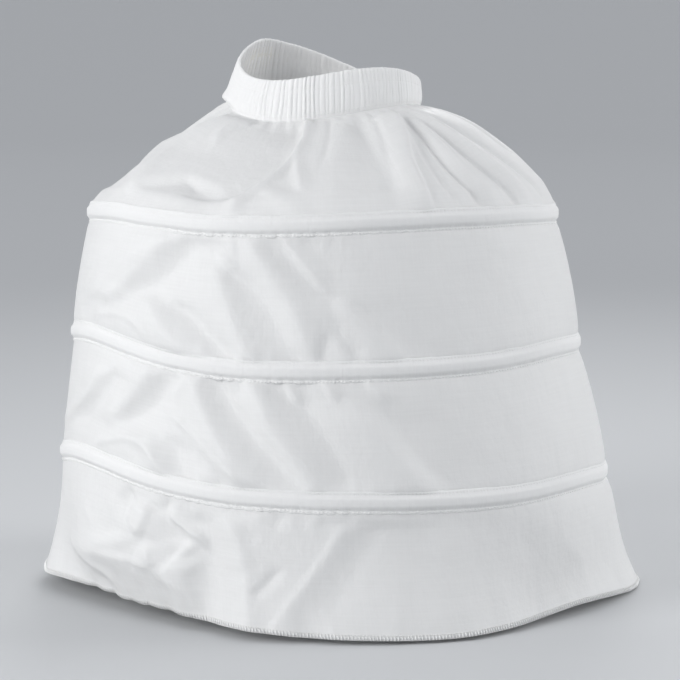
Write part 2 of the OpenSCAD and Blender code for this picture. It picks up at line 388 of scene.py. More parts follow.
    def settle(self, spare, steps, spare_down=0.0, slant=None, cut=None, **how):
        """Lets the cloth settle from its drawn folds. spare is how much longer its weft threads are than the
        smooth panel, and slant how much longer its one diagonal is than its other; cut is the smooth panel if it
        isn't the drawn one. The rows under the tapes stay where they are sewn."""
        held = np.zeros(self.nv, bool)
        held[: self.head] = True
        if self.foot:
            held[-self.foot :] = True
        self.d = np.where(held[:, None], 0.0, self.d)
        start = self.p0 + self.n * self.d[..., None] + self.move
        q = self.p0 if cut is None else cut
        slant = np.zeros(self.nu) if slant is None else slant
        nxt = np.roll(q, -1, 1)
        weft = np.linalg.norm(nxt - q, axis=-1) * (1 + spare)
        warp = np.linalg.norm(np.diff(q, axis=0), axis=-1) * (1 + spare_down)
        half = (0.5 * spare + 0.5 * spare_down)[:-1]
        one = np.linalg.norm(nxt[1:] - q[:-1], axis=-1) * (1 + half - 0.3 * slant)
        two = np.linalg.norm(q[1:] - nxt[:-1], axis=-1) * (1 + half + slant)
        free = np.broadcast_to(np.where(held, 0.0, 1.0)[:, None], (self.nv, self.nu))
        self.p = Cloth(start, free, warp, weft, (one, two)).settle(steps, 0.0, **how)
        return self.p

    def press(self, creases):
        """Presses sharp creases into the settled cloth: each is a line in the view, its width to the left, its height,
        its width to the right and its tapers."""
        self.d = np.zeros_like(self.d)
        for line, w, h, wr, ends in creases:
            self.stroke(line, w, h / self.gain, wr=wr, ends=ends, sharp=1.1)
        self.p = self.p + self.n * self.d[..., None]

    def even_out(self, where, rows, cols):
        """Takes the finest ripples out of the settled cloth: where is 0 to leave it and 1 to smooth it, round the skirt."""
        d = self.p - self.p0
        e = d.copy()
        for _ in range(rows):
            e[1:-1] = (e[:-2] + 2 * e[1:-1] + e[2:]) / 4
        for _ in range(cols):
            e = (np.roll(e, 1, 1) + 2 * e + np.roll(e, -1, 1)) / 4
        w = np.broadcast_to(where, (self.nv, self.nu))[..., None]
        self.p = self.p0 + d * (1 - w) + e * w


NU = 608
A = np.linspace(0, TAU, NU, endpoint=False)


def rows_between(p, q, n):
    t = np.linspace(0, 1, n)[:, None, None]
    return p[None] * (1 - t) + q[None] * t


def panel_yoke():
    top = band(A, -0.02, 0.6)
    end = ring(UPPER, A, 0, 9.0)
    body = []
    for v in np.linspace(0, 1, 58):
        q = mix(top, end, v)
        q[:, 2] += puff(A, v)
        body.append(q)
    head = [band(A, 0.07, 0.2)]
    foot = [ring(UPPER, A, 0, h) for h in (5.5, 1.5, -2.5, -6)]
    return Panel("yoke_cloth", np.array(head + body + foot), 2, 4)


# how far each tier stands out between its hoops, round the skirt
BILLOW = {"upper_tier_cloth": [(0, 5), (60, 3), (120, 3), (180, 3.2), (230, 1.5), (270, 1.5), (320, 3.5)],
          "lower_tier_cloth": [(0, 4.6), (60, 3), (120, 2.5), (180, 0.3), (230, 1), (270, 1.5), (320, 3)]}


def panel_tier(name, i, j):
    head = [ring(i, A, p, h) for p, h in ((-1.0, 3), (-1.0, -2), (-0.5, -6.5))]
    out = turn_table(A, BILLOW[name])
    top, end = ring(i, A, 0.5, -9.0), ring(j, A, 0, 8.6)
    body = []
    for t in np.linspace(0, 1, 48):
        q = mix(top, end, t)
        swell = out * math.sin(math.pi * min(max(t, 0.0), 1.0)) ** 0.45
        q[:, 0] += swell * np.cos(A)
        q[:, 1] += swell * np.sin(A)
        body.append(q)
    foot = [ring(j, A, 0, h) for h in (5, 1, -3, -6)]
    return Panel(name, np.array(head + body + foot), 3, 4)


# the hem as it hangs: drawn in and up at the front left, out at the front, easy waves behind
HEM_OUT = [(0, 5), (10, -1), (15, -4), (32, 7), (52, -9), (74, 6), (96, -8), (116, 5), (136, -9), (158, 2), (170, 1), (180, 7), (190, -6),
           (198, -20), (206, -30), (214, -34), (228, -31), (240, -17), (252, -3), (262, 6), (272, 11), (285, 12), (292, 10), (303, 0), (315, -13),
           (328, -15), (338, -12), (350, -2)]
HEM_UP = [(0, 0), (20, 2), (60, 3), (100, -1), (140, 3), (165, 0), (180, 2), (194, 9), (206, 9), (218, 4), (230, 5), (245, 3), (262, 0),
          (290, -1), (300, 1), (311, 4), (320, 8), (328, 9), (341, 5), (352, 0)]


def panel_flounce():
    head = [ring(LOWER, A, p, h) for p, h in ((-1.0, 3), (-1.0, -2), (-0.5, -6.5))]
    top, end = ring(LOWER, A, 0.5, -9), ring(HEM, A, 0, 0)
    out = turn_table(A, [(0, 7), (30, 5), (60, 1.5), (120, 1), (180, 0), (300, 0), (330, 4)])
    body = []
    for t in np.linspace(0.01, 1, 50):
        f = 0.45 * t + 0.55 * t**3
        q = mix(top, end, f)
        swell = out * math.sin(math.pi * t**0.55)
        q[:, 0] += swell * np.cos(A)
        q[:, 1] += swell * np.sin(A)
        q[:, 2] = mix(top[:, 2], end[:, 2], t)
        body.append(q)
    return Panel("flounce_cloth", np.array(head + body), 3, 0)
yoke = panel_yoke()
tier1 = panel_tier("upper_tier_cloth", UPPER, MIDDLE)
tier2 = panel_tier("lower_tier_cloth", MIDDLE, LOWER)
flounce = panel_flounce()


for T in (yoke, tier1, tier2, flounce):  # the seam that closes each panel at the back
    T.stroke([(T.round / 4, 0), (T.round / 4, T.length)], 3.0, -1.6, ends=(0, 0), px=False)


def front_left(a):
    """1 over the front and the left of it, where the seams are drawn up most, and less elsewhere."""
    return 0.3 + 0.9 * bell(a, 252, 26) + 0.35 * bell(a, 70, 45)


# -- yoke: fine gathers let out of the waistband, then long soft folds to the hoop
g = random(11)
count = 92
for k in range(count):
    x0 = (k + g.uniform(-0.35, 0.35)) / count * yoke.round
    ln = g.uniform(14, 52)
    yoke.stroke(
        [(x0, 1), (x0 + g.normal(0, 3), ln)], g.uniform(3.2, 6), g.uniform(0.4, 1.1) * (1 if k % 2 else -1), ends=(0.02, 0.75),
        grow=(0.9, 2.0), px=False,
    )
Y = yoke
yoke.gain, tier1.gain, tier2.gain, flounce.gain = 1.25, 1.45, 1.5, 1.3
Y.facet([(246, 116), (200, 135), (166, 150), (140, 180), (130, 196)], [(302, 122), (298, 142), (284, 164), (254, 186), (226, 206)], 15, 20, 6, (0.1, 0.1), 1.0)
Y.stroke([(309, 118), (304, 142), (290, 161), (258, 187), (226, 207)], 4.5, 9.5, wr=3.6, ends=(0.04, 0.02), sharp=1.0)
Y.stroke([(306, 140), (297, 160), (299, 180), (304, 196)], 6, 3, wr=4, ends=(0.2, 0.2))
Y.stroke([(126, 192), (158, 187), (184, 180), (200, 187), (222, 200)], 7, -4.2, wr=13, ends=(0.25, 0.2), sharp=1.1)
Y.stroke([(146, 206), (180, 209), (214, 213)], 6, -2, wr=4, ends=(0.3, 0.2))
Y.stroke([(222, 196), (229, 213)], 8, 4, ends=(0.4, 0.0))
Y.stroke([(256, 190), (280, 199), (304, 213)], 8, 3, wr=8, ends=(0.3, 0.05))
Y.facet([(344, 118), (337, 150), (333, 180), (334, 212)], [(362, 118), (366, 150), (372, 180), (376, 212)], 3.2, 20, 20, (0.05, 0.1))
Y.facet([(356, 118), (374, 150), (392, 190), (398, 212)], [(395, 114), (411, 158), (427, 196), (435, 214)], -8, 20, 8, (0.05, 0.05))
Y.facet([(395, 114), (411, 158), (427, 196), (435, 214)], [(402, 114), (422, 160), (442, 196), (454, 214)], 7, 8, 14, (0.05, 0.05))
Y.stroke([(396, 112), (413, 158), (437, 215)], 3.4, -5.4, wr=2.6, ends=(0.2, 0.03), sharp=1.0)
Y.stroke([(401, 113), (446, 166), (486, 212)], 3.2, -5.2, wr=2.6, ends=(0.35, 0.06), sharp=1.0)
Y.stroke([(404, 113), (457, 166), (500, 211)], 6, 4.8, wr=5, ends=(0.15, 0.06))
Y.stroke([(406, 112), (470, 160), (520, 209)], 3.2, -5.6, wr=2.6, ends=(0.3, 0.06), sharp=1.0)
Y.stroke([(409, 111), (484, 157), (532, 204)], 6, 4.8, wr=5, ends=(0.15, 0.06))
Y.stroke([(412, 110), (500, 156), (546, 199)], 3.2, -5.8, wr=2.6, ends=(0.2, 0.1), sharp=1.0)
Y.stroke([(399, 113), (430, 166), (462, 213)], 2.6, -2.6, wr=2.2, ends=(0.1, 0.1), sharp=1.0)
Y.stroke([(372, 116), (388, 160), (404, 213)], 2.6, -2.2, wr=2.2, ends=(0.05, 0.3), sharp=1.0)
Y.stroke([(330, 119), (326, 150), (318, 176)], 2.6, -2.2, wr=2.6, ends=(0.05, 0.4), sharp=1.0)
Y.stroke([(258, 118), (222, 134), (214, 152)], 9, 2.5, wr=7, ends=(0.2, 0.4))
Y.stroke([(236, 113), (205, 131), (172, 153), (136, 184)], 10, 2.2, wr=8, ends=(0.1, 0.3))
g = random(12)
n = 30
for k in range(n):  # the sides and back
    deg = -16 + 212 * (k + g.uniform(0.2, 0.8)) / n
    x0 = math.radians(deg) % TAU / TAU * Y.round
    lean = g.normal(0, 12)
    Y.stroke(
        [(x0, 2), (x0 + lean * 0.4, 70), (x0 + lean, g.uniform(120, 172))], g.uniform(6, 11), g.uniform(3, 6.5) * (0.6 if k % 2 else -1) * (1 - 0.5 * float(bell(math.radians(deg), 0, 16) + bell(math.radians(deg), 182, 16))),
        wr=g.uniform(6, 11), ends=(0.05, 0.3), grow=(0.5, 1.5), px=False,
    )
Y.puckers(Y.length - 14, -1, 14, 100, height=(0.7, 1.8), where=front_left)
spare = 0.002 + 0.014 * bell(A, 245, 40) + 0.01 * bell(A, 246, 13) + 0.014 * bell(A, 335, 30) + 0.02 * bell(A, 90, 70)
spare = spare[None] * smooth(0, 30, Y.length - Y.y) + 0.05 * (1 - smooth(0, 60, Y.y)) ** 2 + 0.01 * (1 - smooth(20, 130, Y.y))
Y.settle(spare, 90, k_bend=0.12, hold=0.02)
Y.even_out(1.0, 1, 1)
Y.press([
    ([(309, 120), (304, 142), (290, 161), (258, 187), (226, 206)], 4.2, 2.6, 3.2, (0.06, 0.06)),
    ([(304, 142), (297, 160), (299, 180), (304, 198)], 3.0, 1.0, 2.4, (0.2, 0.3)),
    ([(233, 122), (205, 137), (172, 156), (138, 184)], 5.0, 1.3, 4.0, (0.15, 0.2)),
    ([(198, 188), (190, 181), (180, 178)], 4.0, -1.4, 3.0, (0.3, 0.3)),
    ([(397, 114), (413, 158), (437, 213)], 2.6, -1.2, 2.0, (0.2, 0.15)),
    ([(402, 116), (446, 166), (486, 211)], 2.6, -1.4, 2.0, (0.2, 0.15)),
    ([(408, 115), (470, 160), (520, 207)], 2.6, -1.4, 2.0, (0.2, 0.15)),
    ([(418, 114), (500, 156), (544, 197)], 2.6, -1.2, 2.0, (0.2, 0.15)),
    ([(399, 118), (430, 166), (462, 211)], 2.4, -0.9, 2.0, (0.25, 0.2)),
])

# -- upper tier: slanting folds at the front left, nearly smooth on the right
T = tier1
T.facet([(166, 238), (140, 266), (108, 303)], [(198, 238), (170, 271), (124, 304)], 9.5, 34, 40, (0.02, 0.15))
T.stroke([(152, 240), (120, 268), (84, 304)], 5, 2.2, wr=6, ends=(0.15, 0.2))
T.stroke([(140, 236), (112, 258), (84, 282)], 5, 1.6, wr=6, ends=(0.15, 0.2))
T.facet([(148, 300), (162, 326), (184, 353)], [(176, 300), (204, 327), (229, 355)], 14, 40, 9, (0.16, 0.0), 1.0)
T.facet([(213, 258), (222, 290), (235, 325), (247, 357)], [(238, 270), (262, 300), (281, 335), (295, 358)], 7, 22, 12, (0.2, 0.0))
T.facet([(246, 240), (270, 274), (292, 310), (311, 358)], [(281, 238), (306, 267), (330, 300), (350, 360)], 7, 14, 30, (0.02, 0.1))
T.stroke([(213, 250), (232, 267), (253, 281)], 4, 1.6, wr=4, ends=(0.2, 0.3))
T.stroke([(225, 238), (231, 247), (234, 256)], 4, 1.8, wr=3, ends=(0.02, 0.5))
T.stroke([(281, 237), (303, 265), (337, 301)], 9, 3.4, wr=3, ends=(0.02, 0.45), sharp=1.1)
T.facet([(338, 300), (368, 325), (400, 358)], [(350, 296), (380, 321), (416, 357)], 6, 26, 16, (0.25, 0.0))
T.stroke([(326, 334), (321, 362)], 5, -2.8, ends=(0.5, 0.0))
T.stroke([(336, 336), (347, 363)], 4, 2.4, ends=(0.4, 0.0))
T.stroke([(352, 342), (358, 363)], 4, -2, ends=(0.4, 0.0))
T.stroke([(92, 316), (120, 313), (140, 322), (148, 342)], 4, 2.2, wr=4, ends=(0.2, 0.1))
T.stroke([(98, 325), (122, 323), (136, 333)], 3.5, 1.5, wr=3.5, ends=(0.3, 0.2))
T.stroke([(242, 346), (254, 358)], 3, 1.6, ends=(0.4, 0.0))

# -- lower tier
T = tier2
T.facet([(107, 370), (88, 396), (66, 427)], [(119, 371), (102, 396), (80, 423)], 8, 24, 26, (0.1, 0.2))
T.facet([(152, 372), (130, 398), (106, 426)], [(173, 372), (160, 398), (128, 423)], 9.5, 30, 30, (0.04, 0.25))
T.facet([(193, 376), (199, 402), (213, 432), (232, 460), (250, 487)], [(217, 378), (234, 408), (258, 440), (285, 470), (305, 491)], 10.5, 26, 11, (0.02, 0.04), 1.15)
T.facet([(250, 382), (259, 402), (268, 428), (288, 458), (313, 493)], [(285, 382), (305, 410), (322, 434), (344, 470), (357, 495)], 8.5, 11, 26, (0.02, 0.08))
T.stroke([(222, 379), (233, 398), (242, 412)], 4, 1.8, wr=4, ends=(0.02, 0.4))
T.stroke([(238, 381), (242, 402)], 4, -2.6, ends=(0.05, 0.4))
T.stroke([(285, 382), (304, 407)], 8, 3.6, wr=3.5, ends=(0.02, 0.5))
T.stroke([(323, 382), (342, 404)], 8, 3, wr=3.5, ends=(0.02, 0.5))
T.stroke([(368, 382), (390, 404)], 9, 3, wr=3.5, ends=(0.02, 0.5))
T.facet([(345, 398), (372, 430), (402, 465), (430, 497)], [(372, 394), (404, 432), (434, 470), (462, 498)], 8, 50, 26, (0.3, 0.0), 1.0)
T.stroke([(92, 444), (130, 436), (151, 446), (165, 478)], 5, 3, wr=5, ends=(0.2, 0.1))
T.stroke([(100, 452), (126, 449), (140, 460)], 4, 1.6, wr=4, ends=(0.3, 0.3))
T.facet([(148, 436), (157, 456), (167, 482)], [(174, 434), (178, 456), (184, 484)], 9, 20, 16, (0.3, 0.05))
T.stroke([(166, 408), (206, 446), (247, 486)], 5, 2, wr=4, ends=(0.2, 0.05))
T.stroke([(186, 434), (214, 460), (246, 486)], 4, 1.5, wr=4, ends=(0.3, 0.05))
T.stroke([(190, 376), (178, 392), (166, 402)], 4, 1.6, wr=4, ends=(0.05, 0.5))
T.facet([(196, 464), (206, 486)], [(214, 468), (224, 487)], 2.4, 14, 14, (0.4, 0.0))
T.stroke([(352, 478), (356, 496)], 4, 1.6, ends=(0.5, 0.0))
T.stroke([(392, 480), (400, 498)], 4, 1.3, ends=(0.5, 0.0))

# -- the sides and back of both tiers: the same slanting folds, fewer and softer
for T, seed in ((tier1, 21), (tier2, 22)):
    g = random(seed)
    n = 30
    for k in range(n):
        deg = 8 + 164 * (k + g.uniform(0.2, 0.8)) / n
        x0 = math.radians(deg) / TAU * T.round
        lean = g.normal(0.45 if deg < 95 else -0.45, 0.22) * T.length
        y0, y1 = (11, g.uniform(80, T.length - 14)) if k % 3 else (g.uniform(20, 50), T.length - 14)
        T.stroke(
            [(x0, y0), (x0 + lean * 0.4, (y0 + y1) / 2), (x0 + lean, y1)], g.uniform(7, 11),
            g.uniform(1, 3.2) * (1 if k % 2 else -1), wr=g.uniform(7, 11), ends=(0.06, 0.25), grow=(0.7, 1.4), px=False,
        )
    for k in range(11):  # and the flat faces between them, as at the front
        deg = 24 + 140 * (k + g.uniform(0.2, 0.8)) / 11
        x0 = math.radians(deg) / TAU * T.round
        lean = (1 if deg < 92 else -1) * g.uniform(0.25, 0.6) * T.length * (1 if k % 4 else -0.5)
        y0, y1 = (10, g.uniform(90, T.length - 10)) if k % 3 else (g.uniform(25, 55), T.length - 10)
        wide = g.uniform(16, 30)
        line = [(x0, y0), (x0 + lean * 0.45, (y0 + y1) / 2), (x0 + lean, y1)]
        T.facet(line, [(x + wide * s, y) for (x, y), s in zip(line, (0.6, 1.0, 1.3))], g.uniform(7, 12) * (1 if k % 2 else -1), g.uniform(16, 32),
                g.uniform(7, 18), (0.08, 0.2), 1.1, px=False)
    T.puckers(11, 1, seed + 1, 120, where=front_left)
    T.puckers(T.length - 13, -1, seed + 2, 110, height=(0.7, 2.0), where=front_left)
    calm = 1 - 0.75 * bell(A, 0, 22) - 0.6 * bell(A, 180, 16)
    spare = (0.026 * bell(A, 238, 34) + 0.014 * bell(A, 90, 55)) * np.clip(calm, 0.1, 1) + 0.0003
    slant = 0.006 * bell(A, 255, 26) - 0.006 * bell(A, 203, 14) + 0.006 * bell(A, 60, 30) - 0.006 * bell(A, 125, 25)
    T.settle(np.broadcast_to(spare, T.a.shape), 90, slant=slant, k_bend=0.12, hold=0.02)
    T.even_out(np.clip(bell(A, 325, 30) * 1.6, 0, 1), 60, 30)
    T.even_out(1.0, 1, 1)

tier1.press([
    ([(152, 244), (122, 272), (90, 304)], 3.5, 1.0, 3.0, (0.2, 0.3)),
    ([(138, 243), (112, 264), (88, 292)], 3.0, 0.8, 2.6, (0.2, 0.3)),
    ([(281, 239), (303, 266), (335, 300)], 3.4, 1.4, 2.2, (0.08, 0.5)),
    ([(214, 251), (232, 267), (252, 281)], 3.0, 0.9, 2.6, (0.2, 0.3)),
    ([(94, 316), (120, 313), (140, 322), (148, 340)], 3.0, 1.0, 3.0, (0.2, 0.2)),
])
tier2.press([
    ([(222, 380), (233, 398), (242, 412)], 3.0, 0.9, 2.6, (0.1, 0.4)),
    ([(285, 384), (304, 408)], 3.4, 1.2, 2.2, (0.08, 0.5)),
    ([(323, 384), (342, 405)], 3.4, 1.1, 2.2, (0.08, 0.5)),
    ([(368, 384), (390, 405)], 3.4, 1.0, 2.2, (0.08, 0.5)),
    ([(168, 410), (206, 446), (245, 484)], 3.0, 1.1, 2.6, (0.2, 0.15)),
    ([(188, 436), (214, 460), (244, 484)], 2.6, 0.9, 2.4, (0.3, 0.15)),
    ([(94, 444), (130, 436), (151, 446), (164, 474)], 3.4, 1.3, 3.0, (0.2, 0.2)),
])

# -- flounce: crumpled on the left, one sharp fold at the front, a wavy hem
F = flounce
F.stroke([(124, 487), (133, 498), (120, 514)], 5, -4, wr=10, ends=(0.2, 0.3), sharp=1.1)
F.facet([(149, 508), (146, 522), (139, 536)], [(168, 512), (180, 528), (186, 546)], 11.5, 22, 4, (0.15, 0.2), 1.0)
F.stroke([(150, 503), (155, 508), (161, 512)], 2.6, -3, wr=2.6, ends=(0.2, 0.2), sharp=1.0)
F.stroke([(169, 498), (166, 505), (162, 511)], 5, -3.5, wr=2.5, ends=(0.1, 0.2), sharp=1.0)
F.stroke([(168, 512), (186, 530), (205, 540)], 4, 6.2, wr=5, ends=(0.1, 0.15), sharp=1.0)
F.stroke([(181, 519), (206, 526)], 5, -2.5, wr=4, ends=(0.3, 0.3), sharp=1.1)
F.stroke([(84, 546), (130, 541), (148, 532)], 7, 3, wr=5, ends=(0.3, 0.2), sharp=1.1)
F.facet([(149, 549), (150, 557), (154, 566)], [(178, 549), (174, 558), (164, 567)], 9.5, 8, 3, (0.1, 0.1), 1.0)
F.stroke([(160, 575), (178, 557), (197, 541)], 2.4, 3.6, wr=3.4, ends=(0.1, 0.15), sharp=1.0)
F.stroke([(172, 576), (186, 566), (200, 561)], 3.5, 3, wr=6, ends=(0.3, 0.3), sharp=1.0)
F.stroke([(64, 542), (80, 564), (100, 590)], 3.5, 2.4, wr=3.5, ends=(0.1, 0.1), sharp=1.0)
g = random(34)
for k in range(34):  # small crumples between them
    x, y = g.uniform(84, 262), g.uniform(506, 600)
    turn, ln = g.uniform(0, math.pi), g.uniform(6, 15)
    dx, dy = ln * math.cos(turn), ln * math.sin(turn)
    F.stroke([(x - dx, y - dy), (x + g.normal(0, 2), y + g.normal(0, 2)), (x + dx, y + dy)], g.uniform(2.5, 5), g.uniform(0.5, 1.3) * (1 if k % 2 else -1),
             wr=g.uniform(2.5, 6), ends=(0.3, 0.4), sharp=1.0)
F.facet([(204, 532), (206, 560), (200, 596), (194, 612)], [(226, 514), (240, 545), (247, 580), (251, 634)], -7, 20, 8, (0.12, 0.0), 1.0)
F.facet([(226, 514), (240, 545), (247, 580), (246, 634)], [(346, 520), (314, 570), (288, 606), (270, 636)], 3.6, 8, 30, (0.05, 0.0), 1.0)
F.facet([(348, 522), (316, 570), (290, 606), (271, 638)], [(382, 526), (356, 570), (334, 606), (322, 638)], 5.5, 40, 34, (0.08, 0.0), 1.6)
F.stroke([(284, 566), (268, 583), (252, 599)], 4, -2.5, wr=4, ends=(0.15, 0.15))
F.stroke([(262, 512), (258, 526)], 4, 2, ends=(0.02, 0.6))
F.stroke([(282, 514), (274, 532)], 5, -2.5, ends=(0.02, 0.6))
F.stroke([(318, 515), (308, 530)], 5, 2, ends=(0.02, 0.6))
F.stroke([(440, 515), (462, 570), (470, 632)], 30, 3, wr=26, ends=(0.3, 0.0), grow=(0.8, 1.3))
F.stroke([(512, 512), (536, 560), (548, 612)], 22, -1.6, wr=22, ends=(0.4, 0.0), grow=(0.7, 1.3))
F.stroke([(560, 540), (586, 560), (600, 596)], 22, 1.6, wr=16, ends=(0.4, 0.0), grow=(0.7, 1.3))
g = random(31)
n = 24
for k in range(n):
    deg = 8 + 166 * (k + g.uniform(0.15, 0.85)) / n
    x0 = math.radians(deg) % TAU / TAU * F.round
    F.stroke(
        [(x0 + g.normal(0, 8), g.uniform(14, 50)), (x0, 90), (x0 + g.normal(0, 10), F.length)], g.uniform(12, 20),
        g.uniform(3, 7) * (1 if k % 2 else -1), wr=g.uniform(12, 20), ends=(0.3, 0), grow=(0.7, 1.3), px=False,
    )
F.puckers(11, 1, 32, 120, where=front_left)
F.d += 1.2 * wave_noise(F.a, 33, 22, 60, 14) * smooth(0.5, 1, F.y / F.length) ** 2
down = smooth(0.15, 1.0, F.y / F.length) ** 1.3
# at the left front the hem is tucked in below a slanting crease
crease = np.array([F.at(*q) for q in ((58, 540), (84, 552), (126, 561), (162, 574), (178, 590), (190, 608))])
tuck = np.clip((F.y - np.interp(F.x, crease[:, 0], crease[:, 1])) / np.maximum(F.length - np.interp(F.x, crease[:, 0], crease[:, 1]), 6), 0, 1)
share = smooth(crease[0, 0] - 10, crease[1, 0], F.x) * smooth(crease[-1, 0] + 12, crease[-2, 0] - 12, F.x)
down = down * (1 - share) + tuck * share
F.move = np.stack(
    [turn_table(A, HEM_OUT) * np.cos(A) * down, turn_table(A, HEM_OUT) * np.sin(A) * down, turn_table(A, HEM_UP) * down], -1
)
spare = 0.012 * bell(A, 225, 32) + 0.012 * bell(A, 90, 70) + 0.0005
cut = F.p0 + F.move * (1 - 0.6 * bell(A, 222, 26) - 0.3 * bell(A, 90, 60))[None, :, None]
F.settle(np.broadcast_to(spare, F.a.shape), 90, cut=cut, k_bend=0.12, hold=0.02)
F.even_out(1.0, 1, 1)
F.press([
    ([(346, 521), (314, 570), (288, 606), (271, 634)], 14, 1.3, 2.0, (0.12, 0.02)),
    ([(284, 566), (268, 583), (252, 599)], 2.2, -0.9, 3.0, (0.2, 0.2)),
    ([(126, 489), (134, 498), (131, 508), (122, 514)], 3.0, -1.6, 5.0, (0.25, 0.3)),
    ([(149, 506), (145, 522), (139, 537)], 3.5, 2.4, 20, (0.2, 0.25)),
    ([(148, 546), (149, 556), (154, 567)], 2.6, 1.8, 13, (0.2, 0.25)),
    ([(86, 552), (126, 561), (160, 573)], 4.0, 1.2, 3.0, (0.2, 0.2)),
    ([(150, 503), (156, 509), (163, 514)], 2.0, -1.4, 2.0, (0.25, 0.25)),
    ([(167, 500), (166, 507), (164, 513)], 2.4, -1.2, 2.0, (0.25, 0.25)),
    ([(168, 513), (184, 528), (203, 538), (208, 556)], 2.8, 2.2, 3.0, (0.12, 0.25)),
    ([(160, 574), (176, 558), (192, 544)], 2.0, 1.2, 2.4, (0.2, 0.2)),
])


# ------------------------------------------------------------------ camera object
cam_data = bpy.data.cameras.new("camera")
cam_data.sensor_width = 36
cam_data.lens = FOCAL / 680 * 36
cam_data.clip_start, cam_data.clip_end = 0.05, 60
camera = bpy.data.objects.new("camera", cam_data)
camera.location = Vector(CAM * MM)
camera.rotation_euler = (math.pi / 2 - PITCH, 0, 0)
bpy.context.scene.collection.objects.link(camera)
bpy.context.scene.camera = camera


# ------------------------------------------------------------------ mesh helpers
def mesh_object(name, verts, faces, uvs=None, turn=None):
    """verts in millimetres, faces as index rows of one length, uvs in metres per vertex, turn the length of u
    after which it starts again."""
    me = bpy.data.meshes.new(name)
    faces = np.asarray(faces, np.int32)
    k = faces.shape[1]
    me.vertices.add(len(verts))
    me.vertices.foreach_set("co", (np.asarray(verts, float) * MM).astype(np.float32).ravel())
    me.loops.add(faces.size)
    me.loops.foreach_set("vertex_index", faces.ravel())
    me.polygons.add(len(faces))
    me.polygons.foreach_set("loop_start", np.arange(0, faces.size, k, dtype=np.int32))
    me.polygons.foreach_set("loop_total", np.full(len(faces), k, np.int32))
    if uvs is not None:
        layer = me.uv_layers.new(name="cloth")
        at = np.asarray(uvs, np.float32)[faces]
        if turn is not None:
            over = (at[..., 0].max(1) - at[..., 0].min(1)) > turn / 2
            at[..., 0] += turn * (over[:, None] & (at[..., 0] < turn / 2))
        layer.data.foreach_set("uv", at.ravel())
    me.update(calc_edges=True)
    me.validate()
    me.polygons.foreach_set("use_smooth", np.full(len(me.polygons), True))
    o = bpy.data.objects.new(name, me)
    bpy.context.scene.collection.objects.link(o)
    return o


def grid_faces(nu, nv, wrap_u=True, wrap_v=False):
    """Quads of a grid whose vertex (row j, column i) is j * nu + i."""
    iu = np.arange(nu if wrap_u else nu - 1)
    jv = np.arange(nv if wrap_v else nv - 1)
    i, j = np.meshgrid(iu, jv)
    i, j = i.ravel(), j.ravel()
    i1, j1 = (i + 1) % nu, (j + 1) % nv
    return np.stack([j * nu + i, j1 * nu + i, j1 * nu + i1, j * nu + i1], 1)


def solid_sheet(o, thick):
    m = o.modifiers.new("thickness", "SOLIDIFY")
    m.thickness = thick * MM
    m.offset = -1
    m.use_even_offset = False
    m.use_quality_normals = True
    return o


def piece(o, node):
    """A piece that takes the place of a node of the frame."""
    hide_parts(node)
    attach(o, "root")
    return o


panels = {}
for T, node in ((yoke, "yoke_panel"), (tier1, "upper_tier_panel"), (tier2, "lower_tier_panel"), (flounce, "hem_flounce")):
    uv = np.stack([(T.x - T.round / 4) % T.round * MM, T.y * MM], -1).reshape(-1, 2)
    o = mesh_object(T.name, T.p.reshape(-1, 3), grid_faces(T.nu, T.nv), uv, T.round * MM)
    solid_sheet(o, 0.4)
    panels[T.name] = piece(o, node)


# ------------------------------------------------------------------ tape casings
def spline(pts, n):
    """A smooth open line through pts, n points."""
    pts = np.array(pts, float)
    q = np.vstack([2 * pts[0] - pts[1], pts, 2 * pts[-1] - pts[-2]])
    out = []
    for t in np.linspace(0, len(pts) - 1 - 1e-9, n):
        k = int(t)
        f = t - k
        a, b, c, d = q[k], q[k + 1], q[k + 2], q[k + 3]
        out.append(0.5 * (2 * b + (c - a) * f + (2 * a - 5 * b + 4 * c - d) * f**2 + (3 * b - a - 3 * c + d) * f**3))
    return np.array(out)


# section of the tape: the hoop hangs low in its tunnel, so the tape slopes above it and turns under sharply
TAPE = spline(
    [(-0.8, 10.2), (0.55, 9.2), (0.85, 8.4), (0.95, 7.5), (1.4, 6.5), (2.15, 5.3), (3.0, 4.2), (3.55, 3.2), (3.75, 1.8), (3.8, 0.0),
     (3.8, -1.8), (3.66, -3.2), (3.2, -4.4), (2.5, -5.5), (1.8, -6.4), (1.25, -7.2), (1.05, -8.0), (1.15, -8.8), (1.3, -9.6), (1.3, -10.3),
     (0.7, -11.0), (-0.8, -11.5)], 34,
)
JOINT = math.radians(105)


